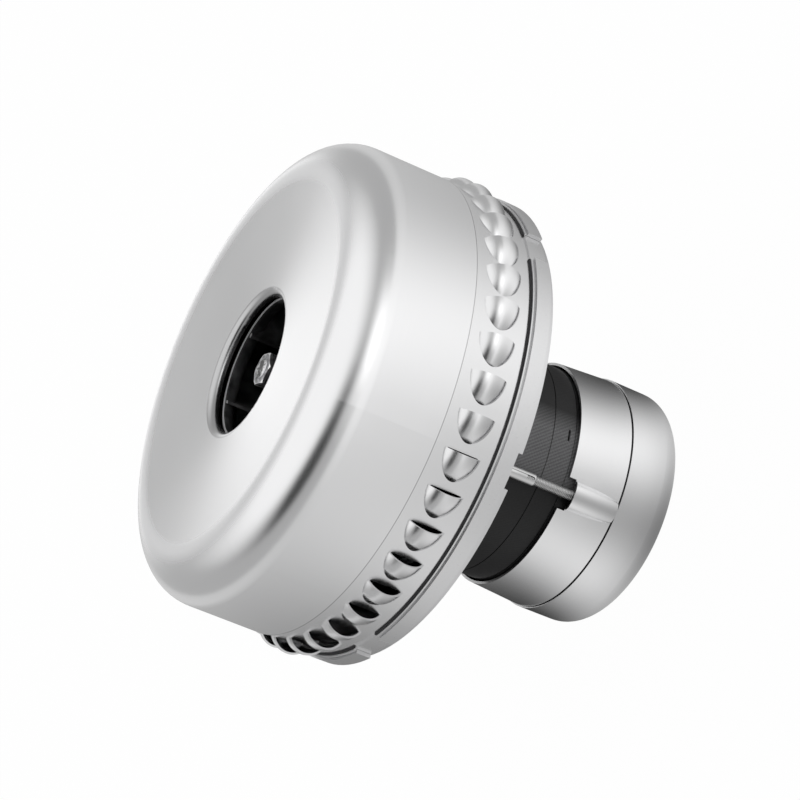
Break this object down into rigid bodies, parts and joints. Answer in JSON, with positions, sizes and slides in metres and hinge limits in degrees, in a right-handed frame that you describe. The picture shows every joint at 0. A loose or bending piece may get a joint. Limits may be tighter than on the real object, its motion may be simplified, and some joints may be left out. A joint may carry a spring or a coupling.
{
  "type": "vacuum cleaner motor unit",
  "caption": "Universal motor with a two-stage fan in a drawn can with a round front inlet, a ring of outlet scoops, a mounting flange, and a covered, separately cooled motor end.",
  "frame": {"origin": "centre of the end cap's flat outer face, on the shaft axis", "axes": "+Z along the shaft from the end cap to the air inlet; +X through one of the two long bolts; +Y completes a right-handed frame, through one brush"},
  "size_m": [0.1928, 0.1928, 0.1694],
  "materials": {
    "plated_steel": "satin, zinc-plated drawn sheet",
    "sheet_aluminium": "rolled sheet",
    "cast_aluminium": "die cast, machined rim",
    "black_rubber": "matt",
    "screw_steel": "zinc plated",
    "nut_steel": "plain, slightly darkened",
    "black_thermoset": "moulded, fine diagonal grain",
    "black_plastic": "moulded",
    "lamination_steel": "stacked electrical sheet",
    "copper_winding": "enamelled wire",
    "commutator_copper": "turned copper bars",
    "moulded_hub": "moulded",
    "brass_parts": "plain",
    "bearing_steel": "ground",
    "brush_carbon": "pressed carbon"
  },
  "bodies": {
    "stator": {"fan_can": "plated_steel", "louvre_ring": "plated_steel", "stage_plate": "sheet_aluminium", "return_guide": "sheet_aluminium", "pan_gasket": "black_rubber", "mounting_flange": "cast_aluminium", "pan_screws": "screw_steel", "front_frame": "black_thermoset", "rear_frame": "black_thermoset", "stator_core": "lamination_steel", "field_coil_a": "copper_winding", "field_coil_b": "copper_winding", "through_bolts": "screw_steel", "bolt_tubes": "screw_steel", "motor_sleeve": "plated_steel", "end_cap": "plated_steel", "terminal_tabs": "brass_parts", "front_bearing_outer": "bearing_steel", "rear_bearing_outer": "bearing_steel", "wave_washer": "bearing_steel", "brush_holder_a": "brass_parts", "brush_holder_b": "brass_parts", "brush_cap_a": "brass_parts", "brush_cap_b": "brass_parts", "brush_spring_a": "bearing_steel", "brush_spring_b": "bearing_steel"},
    "rotor": {"rotor_shaft": "bearing_steel", "armature_core": "lamination_steel", "armature_windings": "copper_winding", "commutator": "commutator_copper", "commutator_hub": "moulded_hub", "bearing_bush": "screw_steel", "rear_impeller_plate": "sheet_aluminium", "rear_impeller_blades": "sheet_aluminium", "rear_impeller_shroud": "sheet_aluminium", "impeller_spacer": "sheet_aluminium", "front_impeller_plate": "sheet_aluminium", "front_impeller_blades": "sheet_aluminium", "front_impeller_shroud": "sheet_aluminium", "front_bush": "sheet_aluminium", "fan_washer": "screw_steel", "fan_nut": "nut_steel", "cooling_fan": "black_plastic", "cooling_fan_nut": "nut_steel", "front_bearing_inner": "bearing_steel", "rear_bearing_inner": "bearing_steel"},
    "front_balls": {"front_bearing_balls": "bearing_steel"},
    "rear_balls": {"rear_bearing_balls": "bearing_steel"},
    "brush_a": {"carbon_brush_a": "brush_carbon"},
    "brush_b": {"carbon_brush_b": "brush_carbon"}
  },
  "joints": [
    {"name": "rotor_spin", "type": "hinge", "parent": "stator", "child": "rotor", "pos_m": [0, 0, 0.08], "axis": [0, 0, 1], "continuous": true},
    {"name": "front_balls_spin", "type": "hinge", "parent": "stator", "child": "front_balls", "pos_m": [0, 0, 0.097], "axis": [0, 0, 1], "continuous": true},
    {"name": "rear_balls_spin", "type": "hinge", "parent": "stator", "child": "rear_balls", "pos_m": [0, 0, 0.025], "axis": [0, 0, 1], "continuous": true},
    {"name": "brush_a_slide", "type": "slide", "parent": "stator", "child": "brush_a", "axis": [0, 1, 0], "range_m": [0, 0.003], "stiffness_N_per_m": 300, "springref_m": -0.006, "deforming": ["brush_spring_a"]},
    {"name": "brush_b_slide", "type": "slide", "parent": "stator", "child": "brush_b", "axis": [0, -1, 0], "range_m": [0, 0.003], "stiffness_N_per_m": 300, "springref_m": -0.006, "deforming": ["brush_spring_b"]}
  ],
  "couplings": [
    {"joint": "front_balls_spin", "follows": "rotor_spin", "ratio": 0.36767},
    {"joint": "rear_balls_spin", "follows": "rotor_spin", "ratio": 0.36767}
  ]
}
